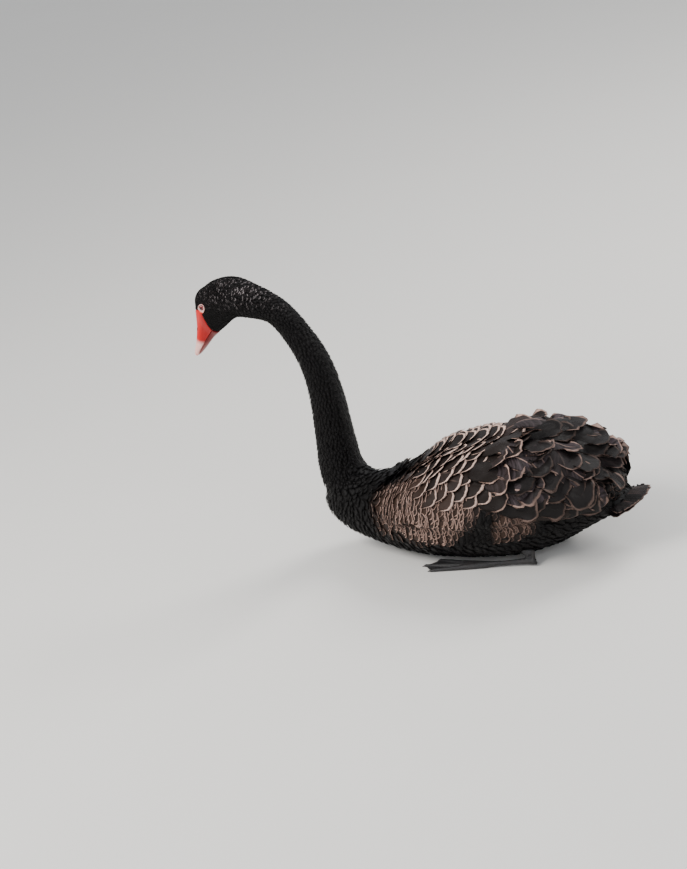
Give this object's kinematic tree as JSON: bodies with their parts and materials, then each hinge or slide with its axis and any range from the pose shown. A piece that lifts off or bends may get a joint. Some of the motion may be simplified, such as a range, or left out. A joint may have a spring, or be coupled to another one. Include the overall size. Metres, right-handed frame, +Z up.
{
  "type": "black swan",
  "caption": "Still life-size black swan resting on its belly, wings folded, long neck raised and head lowered, red bill.",
  "frame": {"origin": "on the floor, under the middle of the belly, in the bird's middle plane", "axes": "+Z up, the bird faces -X, its left side is towards -Y"},
  "size_m": [0.7916, 0.2747, 0.513],
  "materials": {
    "plumage": "black body feathers, soft sheen",
    "wing_plumage": "black-brown feathers with pale edges",
    "bill": "red horn with a pale band, satin",
    "eye": "dark red iris, wet gloss",
    "leg_skin": "dark grey scaled skin"
  },
  "bodies": {
    "root": {"torso": "plumage", "neck_lower": "plumage", "neck_middle": "plumage", "neck_upper": "plumage", "head": "plumage", "bill_upper": "bill", "bill_lower": "bill", "tail": "wing_plumage", "eye_left": "eye", "eye_right": "eye", "wing_left": "wing_plumage", "wing_right": "wing_plumage", "leg_left": "leg_skin", "leg_right": "leg_skin", "foot_left": "leg_skin", "foot_right": "leg_skin"}
  },
  "joints": []
}
